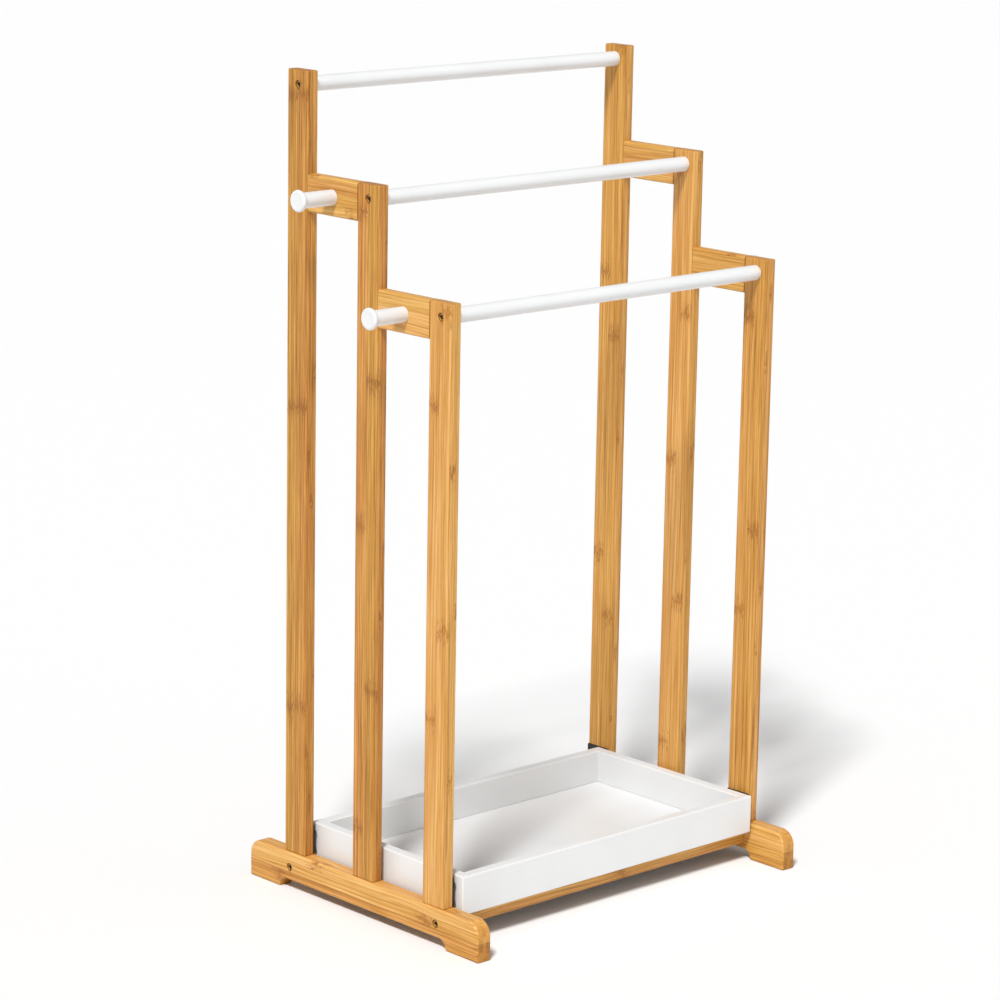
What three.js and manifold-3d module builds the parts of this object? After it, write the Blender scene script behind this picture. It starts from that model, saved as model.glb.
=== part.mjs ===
// Free-standing three-tier towel rack: two bamboo side frames, three white bars, pegs and a low tray.
// Millimetres, +Z up, +X to the right along the bars, -Y to the front.
// The origin is on the floor, under the middle of the rack.
import * as THREE from 'three';
import { mergeVertices } from 'three/addons/utils/BufferGeometryUtils.js';
import Module from 'manifold-3d';

const wasm = await Module();
wasm.setup();

// ---------------------------------------------------------------- driving dimensions

const RACK_WIDTH = 450; // X, over the two foot beams
const RACK_DEPTH = 350; // Y, length of a foot beam
const RACK_HEIGHT = 840; // Z, top of the rear posts
const STEP_DROP = 100; // each row of posts ends this much below the row behind it
const BEAM_OVERHANG = 53; // Y, foot beam past the outer posts at each end
const FIT_GAP = 0.3; // clearance round tenons, fasteners and the tray's lips

const POST_THICKNESS = 13; // X
const POST_DEPTH = 32; // Y
const WOOD_EDGE_RADIUS = 2.5;
const END_EASE = 1.2; // small bevel on sawn ends

const BEAM_THICKNESS = 17; // X
const BEAM_HEIGHT = 40; // Z
const BEAM_END_RADIUS = 16; // upper corner at each end
const FOOT_LENGTH = 48; // Y, the part of the beam that stands on the floor, at each end
const FOOT_RISE = 10; // Z, underside of the beam between its feet

const RAIL_HEIGHT = 38; // Z, short rails between the posts
const TENON_THICKNESS = 6; // X
const TENON_MARGIN = 6; // wood left beyond each end of a tenon's width
const BOLT_WALL = 2; // wood left between a tenon and the side of a bolt's head

const BAR_DIAMETER = 15.6;
const BAR_DROP = 14.5; // bar axis below the top of its posts

const CROSS_RAIL_DEPTH = 13; // Y
const CROSS_RAIL_HEIGHT = 15; // Z
const CROSS_RAIL_LEAD = 6; // Y, outside the centre of the outer posts
const CROSS_RAIL_DROP = 16.5; // axis below the top of the foot beams

const PEG_SHAFT_DIAMETER = 15.6;
const PEG_HEAD_OVERHANG = 3.1; // head past the shaft, all round
const PEG_LENGTH = 45;
const PEG_HEAD_THICKNESS = 5;
const PEG_FLARE = 4; // hollow curve from shaft to head
const PEG_TENON_DIAMETER = 10; // glued into the side rail
const PEG_TENON_WALL = 4; // wood left in the rail behind the tenon

const TRAY_FRONT_LEAD = 8; // Y, tray front ahead of the front posts
const TRAY_REAR_SETBACK = 5; // Y, tray rear ahead of the centre of the rear posts
const TRAY_SCREW_GAP = 1; // X, bracket screw heads to the tray
const TRAY_RAIL_GAP = 1; // Z, cross rails to the tray
const TRAY_HEIGHT = 40; // Z
const TRAY_WALL = 12;
const TRAY_FLOOR = 4;
const TRAY_FLOOR_LIFT = 1; // Z, floor above the lower edge of the walls
const TRAY_GROOVE_DEPTH = 5; // the floor lets into each wall by this much
const TRAY_EDGE_RADIUS = 1.8;

const BRACKET_THICKNESS = 0.8; // X
const BRACKET_DROP = 1.2; // Z, plate below the tray's rim
const BRACKET_LIP_ENTRY = 5; // X, lip inside the tray's wall
const BRACKET_LIP_SETBACK = 7; // Y, behind the plate's front edge
const BRACKET_LIP_DEPTH = 3; // Y
const BRACKET_LIP_HEIGHT = 8; // Z, about the middle between the two screws
const BRACKET_SCREW_INSET = 3.5; // Y, screws behind the plate's front edge
const BRACKET_SCREW_RISE = 4.3; // Z, lower screw above the plate's lower edge
const BRACKET_SCREW_PITCH = 17.8; // Z

const BOLT_DIAMETER = 6;
const BOLT_CHAMFER = 0.5;
const BOLT_HEAD_DIAMETER = 8;
const BOLT_HEAD_HEIGHT = 4.5;
const BOLT_RECESS = 1.2; // head below the face
const BOLT_SOCKET = 4; // across flats
const BOLT_SOCKET_DEPTH = 2.7;
const BAR_BOLT_REACH = 20; // thread past the post, into the bar
const RAIL_BOLT_REACH = 28; // thread past the beam, into the cross rail
const INSERT_DIAMETER = 10;
const INSERT_LENGTH = 16;

const BRACKET_SCREW_DIAMETER = 3;
const BRACKET_SCREW_REACH = 9; // into the post
const BRACKET_SCREW_HEAD = 7;
const BRACKET_SCREW_CROWN = 4; // flat on top of the pan head
const BRACKET_SCREW_HEAD_HEIGHT = 3.2;
const BRACKET_SCREW_RIM = 1.6; // straight side of the pan head

const SCREW_CROSS_SPAN = 4; // cross recess in the bracket screws' heads
const SCREW_CROSS_WIDTH = 1.1;
const SCREW_CROSS_DEPTH = 1.2;

const ROUND_SEGMENTS = 24; // sides of the bars and pegs
const FINE_SEGMENTS = 14; // sides of bolts, inserts and their holes
const SMALL_SEGMENTS = 10; // sides of the bracket screws and their holes
const HEX_SIDES = 6;
const CORNER_SEGMENTS = 3; // steps round a rounded edge
const ARC_SEGMENTS = 6; // steps round each curve of a foot beam
const WELD_DISTANCE = 0.001; // corners closer than this are one
const OVERRUN = 1; // cuts start this far outside a face, and joined pieces this far inside it

// ---------------------------------------------------------------- places worked out from them

const BEAM_INNER = RACK_WIDTH / 2 - BEAM_THICKNESS;
const BEAM_X = RACK_WIDTH / 2 - BEAM_THICKNESS / 2;
const POST_INNER = BEAM_X - POST_THICKNESS / 2;
const POST_PITCH = (RACK_DEPTH - POST_DEPTH) / 2 - BEAM_OVERHANG; // Y, from one post's centre to the next
const CROSS_RAIL_Z = BEAM_HEIGHT - CROSS_RAIL_DROP;
const POST_TENON_LENGTH = CROSS_RAIL_DROP - BOLT_HEAD_DIAMETER / 2 - BOLT_WALL;
const RAIL_TENON_LENGTH = (POST_DEPTH - BOLT_HEAD_DIAMETER) / 2 - BOLT_WALL;
const PEG_HEAD_DIAMETER = PEG_SHAFT_DIAMETER + 2 * PEG_HEAD_OVERHANG;
const PEG_TENON_LENGTH = POST_THICKNESS - PEG_TENON_WALL;
const TRAY_SIDE_GAP = BRACKET_THICKNESS + BRACKET_SCREW_HEAD_HEIGHT + TRAY_SCREW_GAP; // X, post to tray
const TRAY_HALF_WIDTH = POST_INNER - TRAY_SIDE_GAP;
const TRAY_FRONT = -POST_PITCH - POST_DEPTH / 2 - TRAY_FRONT_LEAD;
const TRAY_DEPTH = POST_PITCH - TRAY_REAR_SETBACK - TRAY_FRONT;
const TRAY_MIDDLE = TRAY_FRONT + TRAY_DEPTH / 2;
const TRAY_BOTTOM = CROSS_RAIL_Z + CROSS_RAIL_HEIGHT / 2 + TRAY_RAIL_GAP;
const TRAY_WALL_Z = TRAY_BOTTOM + TRAY_HEIGHT / 2;
const TRAY_FLOOR_Z = TRAY_BOTTOM + TRAY_FLOOR_LIFT + TRAY_FLOOR / 2;
const SIDES = [{ name: 'left', out: -1 }, { name: 'right', out: 1 }];
const ROWS = [
  { name: 'rear', y: POST_PITCH, top: RACK_HEIGHT },
  { name: 'middle', y: 0, top: RACK_HEIGHT - STEP_DROP },
  { name: 'front', y: -POST_PITCH, top: RACK_HEIGHT - 2 * STEP_DROP },
];
const OUTER_ROWS = [ROWS[0], ROWS[2]]; // the two that carry the tray
const SIDE_RAILS = [
  { name: 'upper', behind: ROWS[0], ahead: ROWS[1] },
  { name: 'lower', behind: ROWS[1], ahead: ROWS[2] },
];
const CROSS_RAILS = [
  { name: 'rear', y: POST_PITCH + CROSS_RAIL_LEAD },
  { name: 'front', y: -POST_PITCH - CROSS_RAIL_LEAD },
];
const RAIL_SPAN = POST_PITCH - POST_DEPTH;
const BRACKET_HEIGHT = TRAY_BOTTOM + TRAY_HEIGHT - BRACKET_DROP - BEAM_HEIGHT - FIT_GAP; // Z
const BRACKET_Z = BEAM_HEIGHT + FIT_GAP + BRACKET_HEIGHT / 2;
const BRACKET_SCREW_LEAD = POST_DEPTH / 2 - BRACKET_SCREW_INSET; // Y, ahead of the plate's middle
const BRACKET_LIP_LEAD = (POST_DEPTH - BRACKET_LIP_DEPTH) / 2 - BRACKET_LIP_SETBACK; // Y, likewise
const BRACKET_LIP_Z = BRACKET_SCREW_RISE + (BRACKET_SCREW_PITCH - BRACKET_HEIGHT) / 2; // Z, above its middle
const BRACKET_LIP_REACH = TRAY_SIDE_GAP - BRACKET_THICKNESS + BRACKET_LIP_ENTRY; // X, past the plate

// ---------------------------------------------------------------- finishes

function finish(color, roughness, metalness) {
  return new THREE.MeshStandardMaterial({ color, roughness, metalness });
}

const BAMBOO = finish(0xd59a58, 0.55, 0);
const WHITE_LACQUER = finish(0xf3f3f0, 0.4, 0);
const BLACK_STEEL = finish(0x1c1b1a, 0.45, 0.7);
const BRASSED_STEEL = finish(0x8a6a3c, 0.4, 0.9);
const BRASS = finish(0xb89a55, 0.35, 0.9);

// ---------------------------------------------------------------- solids

function toSolid(geometry) {
  const bare = geometry.clone();
  bare.deleteAttribute('normal');
  bare.deleteAttribute('uv');
  const merged = mergeVertices(bare, WELD_DISTANCE);
  return new wasm.Manifold(new wasm.Mesh({
    numProp: 3,
    vertProperties: new Float32Array(merged.attributes.position.array),
    triVerts: new Uint32Array(merged.index.array),
  }));
}

function toGeometry(solid) {
  const mesh = solid.getMesh();
  const geometry = new THREE.BufferGeometry();
  geometry.setAttribute('position', new THREE.BufferAttribute(mesh.vertProperties, 3));
  geometry.setIndex(new THREE.BufferAttribute(mesh.triVerts, 1));
  geometry.computeVertexNormals();
  return geometry;
}

function carve(body, adds, cuts) {
  let solid = toSolid(body);
  for (const piece of adds) solid = solid.add(toSolid(piece));
  for (const tool of cuts) solid = solid.subtract(toSolid(tool));
  return toGeometry(solid);
}

function box(size, centre) {
  return new THREE.BoxGeometry(...size).translate(...centre);
}

function rodAlongX(diameter, x0, x1, y, z, segments = FINE_SEGMENTS) {
  const rod = new THREE.CylinderGeometry(diameter / 2, diameter / 2, Math.abs(x1 - x0), segments);
  return rod.rotateZ(Math.PI / 2).translate((x0 + x1) / 2, y, z);
}

function roundedRectangle(width, height, radius) {
  const w = width / 2 - radius;
  const h = height / 2 - radius;
  const quarter = Math.PI / 2;
  const shape = new THREE.Shape();
  shape.moveTo(w + radius, -h);
  shape.absarc(w, h, radius, 0, quarter);
  shape.absarc(-w, h, radius, quarter, 2 * quarter);
  shape.absarc(-w, -h, radius, 2 * quarter, 3 * quarter);
  shape.absarc(w, -h, radius, 3 * quarter, 4 * quarter);
  return shape;
}

// A prism of the shape along +Z from z = 0, with both ends eased by a small bevel.
function easedPrism(shape, length, ease) {
  return new THREE.ExtrudeGeometry(shape, {
    depth: length - 2 * ease,
    curveSegments: CORNER_SEGMENTS,
    bevelEnabled: ease > 0,
    bevelThickness: ease,
    bevelSize: ease,
    bevelOffset: -ease,
    bevelSegments: 1,
  }).translate(0, 0, ease);
}

// The same prism laid along Y and centred on the origin: shape x stays X, shape y becomes Z.
function prismAlongY(shape, length, ease) {
  return easedPrism(shape, length, ease).translate(0, 0, -length / 2).rotateX(Math.PI / 2);
}

// The same prism laid along X and centred on the origin: shape x becomes Y, shape y becomes Z.
function prismAlongX(shape, length, ease) {
  return prismAlongY(shape, length, ease).rotateZ(Math.PI / 2);
}

// A solid of revolution about X. The profile is [distance along X, radius] pairs from axis to axis.
// Pointing towards -X turns it end for end.
function turned(profile, segments, towards = 1) {
  const points = profile.map(([along, radius]) => new THREE.Vector2(radius, along));
  return new THREE.LatheGeometry(points, segments).rotateZ(-towards * Math.PI / 2);
}

// ---------------------------------------------------------------- scene graph helpers

const rack = new THREE.Group();

function place(parent, name, geometry, material, x = 0, y = 0, z = 0) {
  const mesh = new THREE.Mesh(geometry, material);
  mesh.name = name;
  mesh.position.set(x, y, z);
  parent.add(mesh);
  return mesh;
}

function groupAt(parent, x, y, z) {
  const group = new THREE.Group();
  group.position.set(x, y, z);
  parent.add(group);
  return group;
}

// ---------------------------------------------------------------- fasteners

// Every fastener is turned about X with the underside of its head at 0 and its shank towards +X.

function socketBolt(shankLength, towards) {
  const radius = BOLT_DIAMETER / 2;
  const head = BOLT_HEAD_DIAMETER / 2;
  const body = turned([
    [-BOLT_HEAD_HEIGHT, 0],
    [-BOLT_HEAD_HEIGHT, head - BOLT_CHAMFER],
    [-BOLT_HEAD_HEIGHT + BOLT_CHAMFER, head],
    [0, head],
    [0, radius],
    [shankLength - BOLT_CHAMFER, radius],
    [shankLength, radius - BOLT_CHAMFER],
    [shankLength, 0],
  ], FINE_SEGMENTS, towards);
  const acrossCorners = BOLT_SOCKET / Math.cos(Math.PI / HEX_SIDES);
  const outer = -towards * (BOLT_HEAD_HEIGHT + OVERRUN);
  const inner = -towards * (BOLT_HEAD_HEIGHT - BOLT_SOCKET_DEPTH);
  return carve(body, [], [rodAlongX(acrossCorners, outer, inner, 0, 0, HEX_SIDES)]);
}

// The counterbore for a bolt's head in the outer face of a board centred on x = 0, and its clearance hole.
function boltHoles(out, thickness, y, z) {
  const clearance = 2 * FIT_GAP;
  const face = thickness / 2;
  const seat = face - BOLT_HEAD_HEIGHT - BOLT_RECESS;
  return [
    rodAlongX(BOLT_HEAD_DIAMETER + clearance, out * (face + OVERRUN), out * seat, y, z),
    rodAlongX(BOLT_DIAMETER + clearance, out * (seat + OVERRUN), -out * (face + OVERRUN), y, z),
  ];
}

// The two slots of a cross recess, centred on a screw head's face at x.
function crossRecess(x) {
  const depth = 2 * SCREW_CROSS_DEPTH;
  return [
    box([depth, SCREW_CROSS_SPAN, SCREW_CROSS_WIDTH], [x, 0, 0]),
    box([depth, SCREW_CROSS_WIDTH, SCREW_CROSS_SPAN], [x, 0, 0]),
  ];
}

function panScrew(towards) {
  const radius = BRACKET_SCREW_DIAMETER / 2;
  const head = BRACKET_SCREW_HEAD / 2;
  const height = BRACKET_SCREW_HEAD_HEIGHT;
  const reach = BRACKET_THICKNESS + BRACKET_SCREW_REACH;
  const body = turned([
    [-height, 0],
    [-height, BRACKET_SCREW_CROWN / 2],
    [-BRACKET_SCREW_RIM, head],
    [0, head],
    [0, radius],
    [reach - radius, radius],
    [reach, 0],
  ], SMALL_SEGMENTS, towards);
  return carve(body, [], crossRecess(-towards * height));
}

function barInsert() {
  const inner = BOLT_DIAMETER / 2 + FIT_GAP;
  const outer = INSERT_DIAMETER / 2;
  return turned([[0, inner], [0, outer], [INSERT_LENGTH, outer], [INSERT_LENGTH, inner], [0, inner]],
    FINE_SEGMENTS);
}

// ---------------------------------------------------------------- side frames

// Stub tenon of a post, standing down from z = 0, and the mortise that takes it.
// A tenon is rooted in its board, and a mortise is cut from outside the face, by the same overrun.
function postTenon(clearance) {
  const size = [TENON_THICKNESS, POST_DEPTH - 2 * TENON_MARGIN, POST_TENON_LENGTH + OVERRUN];
  return box(size.map((side) => side + 2 * clearance), [0, 0, (OVERRUN - POST_TENON_LENGTH) / 2]);
}

// Stub tenon of a side rail, pointing along Y from y = 0, and the mortise that takes it.
function railTenon(towards, clearance) {
  const size = [TENON_THICKNESS, RAIL_TENON_LENGTH + OVERRUN, RAIL_HEIGHT - 2 * TENON_MARGIN];
  const y = (towards * (RAIL_TENON_LENGTH - OVERRUN)) / 2;
  return box(size.map((side) => side + 2 * clearance), [0, y, 0]);
}

function railZ(rail) {
  return rail.ahead.top - RAIL_HEIGHT / 2;
}

function post(side, row) {
  const length = row.top - BEAM_HEIGHT;
  const section = roundedRectangle(POST_THICKNESS, POST_DEPTH, WOOD_EDGE_RADIUS);
  const body = easedPrism(section, length, END_EASE);
  const cuts = boltHoles(side.out, POST_THICKNESS, 0, length - BAR_DROP);
  for (const rail of SIDE_RAILS) {
    const z = railZ(rail) - BEAM_HEIGHT;
    if (rail.behind === row) cuts.push(railTenon(1, FIT_GAP).translate(0, -POST_DEPTH / 2, z));
    if (rail.ahead === row) cuts.push(railTenon(-1, FIT_GAP).translate(0, POST_DEPTH / 2, z));
  }
  if (OUTER_ROWS.includes(row)) {
    const depth = BRACKET_SCREW_REACH + FIT_GAP;
    const inner = -side.out * (POST_THICKNESS / 2);
    const mouth = inner - side.out * OVERRUN;
    const diameter = BRACKET_SCREW_DIAMETER + 2 * FIT_GAP;
    for (const level of [-1, 1]) {
      const z = BRACKET_Z + bracketScrewZ(level) - BEAM_HEIGHT;
      cuts.push(rodAlongX(diameter, mouth, inner + side.out * depth, -BRACKET_SCREW_LEAD, z, SMALL_SEGMENTS));
    }
  }
  return carve(body, [postTenon(0)], cuts);
}

function sideRail(side) {
  const section = roundedRectangle(POST_THICKNESS, RAIL_HEIGHT, WOOD_EDGE_RADIUS);
  const body = prismAlongY(section, RAIL_SPAN, 0);
  const tenons = [-1, 1].map((towards) => railTenon(towards, 0).translate(0, (towards * RAIL_SPAN) / 2, 0));
  const face = POST_THICKNESS / 2;
  const bottom = face - PEG_TENON_LENGTH - FIT_GAP;
  const diameter = PEG_TENON_DIAMETER + 2 * FIT_GAP;
  return carve(body, tenons, [rodAlongX(diameter, side.out * (face + OVERRUN), side.out * bottom, 0, 0)]);
}

function footBeam(side) {
  const half = RACK_DEPTH / 2;
  const foot = half - FOOT_LENGTH;
  const quarter = Math.PI / 2;
  const shape = new THREE.Shape();
  shape.moveTo(-half, 0);
  shape.lineTo(-foot, 0);
  shape.absarc(-foot + FOOT_RISE, 0, FOOT_RISE, 2 * quarter, quarter, true);
  shape.absarc(foot - FOOT_RISE, 0, FOOT_RISE, quarter, 0, true);
  shape.lineTo(half, 0);
  shape.absarc(half - BEAM_END_RADIUS, BEAM_HEIGHT - BEAM_END_RADIUS, BEAM_END_RADIUS, 0, quarter);
  shape.absarc(BEAM_END_RADIUS - half, BEAM_HEIGHT - BEAM_END_RADIUS, BEAM_END_RADIUS, quarter, 2 * quarter);
  const outline = new THREE.Shape(shape.getPoints(ARC_SEGMENTS));
  const body = prismAlongX(outline, BEAM_THICKNESS, END_EASE);
  const cuts = ROWS.map((row) => postTenon(FIT_GAP).translate(0, row.y, BEAM_HEIGHT));
  for (const rail of CROSS_RAILS) {
    cuts.push(...boltHoles(side.out, BEAM_THICKNESS, rail.y, CROSS_RAIL_Z));
  }
  return carve(body, [], cuts);
}

// A turned peg whose shaft starts at x = 0, on the rail's outer face, with its tenon behind that.
function peg(side) {
  const shaft = PEG_SHAFT_DIAMETER / 2;
  const head = PEG_HEAD_DIAMETER / 2;
  const tenon = PEG_TENON_DIAMETER / 2;
  const round = PEG_HEAD_THICKNESS / 2;
  const headStart = PEG_LENGTH - PEG_HEAD_THICKNESS;
  const profile = [[-PEG_TENON_LENGTH, 0], [-PEG_TENON_LENGTH, tenon], [0, tenon], [0, shaft]];
  const flareSteps = 3;
  for (let step = 0; step <= flareSteps; step += 1) {
    const turn = (step / flareSteps) * (Math.PI / 2);
    const widen = (head - round - shaft) * (1 - Math.cos(turn));
    profile.push([headStart - PEG_FLARE * (1 - Math.sin(turn)), shaft + widen]);
  }
  const rimSteps = 4;
  for (let step = 1; step <= rimSteps; step += 1) {
    const turn = (step / rimSteps) * Math.PI;
    profile.push([headStart + round - round * Math.cos(turn), head - round + round * Math.sin(turn)]);
  }
  profile.push([PEG_LENGTH, 0]);
  return turned(profile, ROUND_SEGMENTS, side.out);
}

function buildSideFrame(side) {
  const frame = groupAt(rack, side.out * BEAM_X, 0, 0);
  const outerFace = side.out * (POST_THICKNESS / 2);
  place(frame, `${side.name}_foot_beam`, footBeam(side), BAMBOO);
  for (const row of ROWS) {
    place(frame, `${side.name}_${row.name}_post`, post(side, row), BAMBOO, 0, row.y, BEAM_HEIGHT);
  }
  for (const rail of SIDE_RAILS) {
    const y = (rail.behind.y + rail.ahead.y) / 2;
    const z = railZ(rail);
    place(frame, `${side.name}_${rail.name}_side_rail`, sideRail(side), BAMBOO, 0, y, z);
    place(frame, `${side.name}_${rail.name}_peg`, peg(side), WHITE_LACQUER, outerFace, y, z);
  }
}

// ---------------------------------------------------------------- bars and their bolts

function bar() {
  const half = POST_INNER;
  const radius = BAR_DIAMETER / 2;
  const hole = BOLT_DIAMETER / 2 + FIT_GAP;
  const seat = INSERT_DIAMETER / 2 + FIT_GAP;
  const seatDepth = INSERT_LENGTH + FIT_GAP;
  const holeDepth = BAR_BOLT_REACH + FIT_GAP;
  return turned([
    [-half + holeDepth, 0], [-half + holeDepth, hole], [-half + seatDepth, hole], [-half + seatDepth, seat],
    [-half, seat], [-half, radius], [half, radius], [half, seat],
    [half - seatDepth, seat], [half - seatDepth, hole], [half - holeDepth, hole], [half - holeDepth, 0],
  ], ROUND_SEGMENTS);
}

function buildBars() {
  for (const row of ROWS) {
    const level = groupAt(rack, 0, row.y, row.top - BAR_DROP);
    place(level, `${row.name}_bar`, bar(), WHITE_LACQUER);
    for (const side of SIDES) {
      const headSeat = side.out * (POST_INNER + POST_THICKNESS - BOLT_HEAD_HEIGHT - BOLT_RECESS);
      const shank = POST_THICKNESS - BOLT_HEAD_HEIGHT - BOLT_RECESS + BAR_BOLT_REACH;
      const insertX = side.out < 0 ? -POST_INNER : POST_INNER - INSERT_LENGTH;
      const label = `${side.name}_${row.name}_bar`;
      place(level, `${label}_bolt`, socketBolt(shank, -side.out), BRASSED_STEEL, headSeat);
      place(level, `${label}_insert`, barInsert(), BRASS, insertX);
    }
  }
}

// ---------------------------------------------------------------- cross rails

function crossRail() {
  const section = roundedRectangle(CROSS_RAIL_DEPTH, CROSS_RAIL_HEIGHT, WOOD_EDGE_RADIUS);
  const diameter = BOLT_DIAMETER + 2 * FIT_GAP;
  const holes = [-1, 1].map((out) => (
    rodAlongX(diameter, out * (BEAM_INNER + OVERRUN), out * (BEAM_INNER - RAIL_BOLT_REACH - FIT_GAP), 0, 0)));
  return carve(prismAlongX(section, 2 * BEAM_INNER, 0), [], holes);
}

function buildCrossRails() {
  const shank = BEAM_THICKNESS - BOLT_HEAD_HEIGHT - BOLT_RECESS + RAIL_BOLT_REACH;
  for (const rail of CROSS_RAILS) {
    const level = groupAt(rack, 0, rail.y, CROSS_RAIL_Z);
    place(level, `${rail.name}_cross_rail`, crossRail(), BAMBOO);
    for (const side of SIDES) {
      const headSeat = side.out * (RACK_WIDTH / 2 - BOLT_HEAD_HEIGHT - BOLT_RECESS);
      const name = `${side.name}_${rail.name}_rail_bolt`;
      place(level, name, socketBolt(shank, -side.out), BRASSED_STEEL, headSeat);
    }
  }
}

// ---------------------------------------------------------------- tray brackets

// Height of the upper (level 1) or lower (level -1) screw, from the plate's middle.
function bracketScrewZ(level) {
  return BRACKET_LIP_Z + (level * BRACKET_SCREW_PITCH) / 2;
}

// The lip that reaches from the plate into the tray's wall.
function bracketLip(side, clearance) {
  const size = [BRACKET_THICKNESS + BRACKET_LIP_REACH, BRACKET_LIP_DEPTH, BRACKET_LIP_HEIGHT];
  const x = (-side.out * size[0]) / 2;
  return box(size.map((length) => length + 2 * clearance), [x, -BRACKET_LIP_LEAD, BRACKET_LIP_Z]);
}

// A plate as wide as the post, against its inner face (x = 0), with the lip and two holes near its front edge.
function bracket(side) {
  const size = [BRACKET_THICKNESS, POST_DEPTH, BRACKET_HEIGHT];
  const plate = box(size, [(-side.out * BRACKET_THICKNESS) / 2, 0, 0]);
  const reach = BRACKET_THICKNESS + OVERRUN;
  const diameter = BRACKET_SCREW_DIAMETER + 2 * FIT_GAP;
  const holes = [-1, 1].map((level) => (
    rodAlongX(diameter, -reach, reach, -BRACKET_SCREW_LEAD, bracketScrewZ(level), SMALL_SEGMENTS)));
  return carve(plate, [bracketLip(side, 0)], holes);
}

function buildBrackets() {
  for (const side of SIDES) {
    for (const row of OUTER_ROWS) {
      const label = `${side.name}_${row.name}_tray_bracket`;
      const corner = groupAt(rack, side.out * POST_INNER, row.y, BRACKET_Z);
      place(corner, label, bracket(side), BLACK_STEEL);
      for (const [name, level] of [['upper', 1], ['lower', -1]]) {
        place(corner, `${label}_${name}_screw`, panScrew(side.out), BLACK_STEEL,
          -side.out * BRACKET_THICKNESS, -BRACKET_SCREW_LEAD, bracketScrewZ(level));
      }
    }
  }
}

// ---------------------------------------------------------------- tray

// The floor panel about its own middle. The walls' grooves are the same panel with clearance.
function trayFloor(clearance) {
  const width = 2 * (TRAY_HALF_WIDTH - TRAY_WALL + TRAY_GROOVE_DEPTH);
  const depth = TRAY_DEPTH - 2 * (TRAY_WALL - TRAY_GROOVE_DEPTH);
  return box([width + 2 * clearance, depth + 2 * clearance, TRAY_FLOOR + 2 * clearance], [0, 0, 0]);
}

function floorGroove(x, y) {
  return trayFloor(FIT_GAP).translate(-x, TRAY_MIDDLE - y, TRAY_FLOOR_Z - TRAY_WALL_Z);
}

function traySection() {
  return roundedRectangle(TRAY_WALL, TRAY_HEIGHT, TRAY_EDGE_RADIUS);
}

function buildTray() {
  const sideX = TRAY_HALF_WIDTH - TRAY_WALL / 2;
  for (const side of SIDES) {
    const x = side.out * sideX;
    const cuts = [floorGroove(x, TRAY_MIDDLE)];
    for (const row of OUTER_ROWS) {
      const slot = bracketLip(side, FIT_GAP);
      slot.translate(side.out * POST_INNER - x, row.y - TRAY_MIDDLE, BRACKET_Z - TRAY_WALL_Z);
      cuts.push(slot);
    }
    const wall = carve(prismAlongY(traySection(), TRAY_DEPTH, END_EASE), [], cuts);
    place(rack, `tray_${side.name}_wall`, wall, WHITE_LACQUER, x, TRAY_MIDDLE, TRAY_WALL_Z);
  }
  const crossLength = 2 * (TRAY_HALF_WIDTH - TRAY_WALL);
  for (const [name, y] of [
    ['front', TRAY_FRONT + TRAY_WALL / 2],
    ['rear', TRAY_FRONT + TRAY_DEPTH - TRAY_WALL / 2],
  ]) {
    const wall = carve(prismAlongX(traySection(), crossLength, 0), [], [floorGroove(0, y)]);
    place(rack, `tray_${name}_wall`, wall, WHITE_LACQUER, 0, y, TRAY_WALL_Z);
  }
  place(rack, 'tray_floor', trayFloor(0), WHITE_LACQUER, 0, TRAY_MIDDLE, TRAY_FLOOR_Z);
}

// ---------------------------------------------------------------- the rack

for (const side of SIDES) buildSideFrame(side);
buildBars();
buildCrossRails();
buildBrackets();
buildTray();

export default rack;
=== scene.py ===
"""Looks of the towel rack: bamboo side frames, white bars, pegs and tray, and their fasteners.

Metres, +Z up, +X to the right along the bars, -Y to the front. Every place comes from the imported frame.
"""

import math

import bmesh
import bpy
from mathutils import Matrix, Vector


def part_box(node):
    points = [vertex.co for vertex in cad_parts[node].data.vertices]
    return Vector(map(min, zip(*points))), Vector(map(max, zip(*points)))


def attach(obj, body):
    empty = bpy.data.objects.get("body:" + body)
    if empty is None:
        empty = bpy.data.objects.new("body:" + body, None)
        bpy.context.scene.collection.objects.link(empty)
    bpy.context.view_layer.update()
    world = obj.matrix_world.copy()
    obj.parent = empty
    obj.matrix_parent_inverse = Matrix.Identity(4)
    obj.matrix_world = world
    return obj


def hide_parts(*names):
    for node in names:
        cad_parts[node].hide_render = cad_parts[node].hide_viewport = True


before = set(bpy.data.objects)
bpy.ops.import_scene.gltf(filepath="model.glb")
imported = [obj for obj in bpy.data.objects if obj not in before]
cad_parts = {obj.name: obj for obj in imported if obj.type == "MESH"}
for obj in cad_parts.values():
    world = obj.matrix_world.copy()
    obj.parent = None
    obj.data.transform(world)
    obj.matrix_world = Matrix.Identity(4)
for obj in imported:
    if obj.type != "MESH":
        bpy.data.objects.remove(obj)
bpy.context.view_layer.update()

# ---------------------------------------------------------------- sizes that no box in the frame gives

MM = 0.001
FIT_GAP = 0.3 * MM
OVERRUN = 1 * MM  # cuts start this far outside a face, and joined pieces this far inside it
WOOD_EDGE = 2.5 * MM
WOOD_END = 1.2 * MM
BEAM_EDGE = 2 * MM
BEAM_END_RADIUS = 16 * MM
BEAM_FOOT = 48 * MM
BEAM_RISE = 10 * MM
BEAM_CORNER = 1.2 * MM
TENON_THICKNESS = 6 * MM
TENON_MARGIN = 6 * MM
BOLT_RADIUS = 3 * MM
BOLT_HEAD_RADIUS = 4 * MM
BOLT_HEAD_HEIGHT = 4.5 * MM
BOLT_SOCKET = 2 * MM  # middle to flat
BOLT_SOCKET_DEPTH = 2.7 * MM
BOLT_CHAMFER = 0.5 * MM
BOLT_EASE = 0.3 * MM  # rounding under a bolt's head
BOLT_FILLET = 0.4 * MM  # shank to head
HEX_SIDES = 6
BORE_MOUTH = 0.35 * MM
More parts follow.
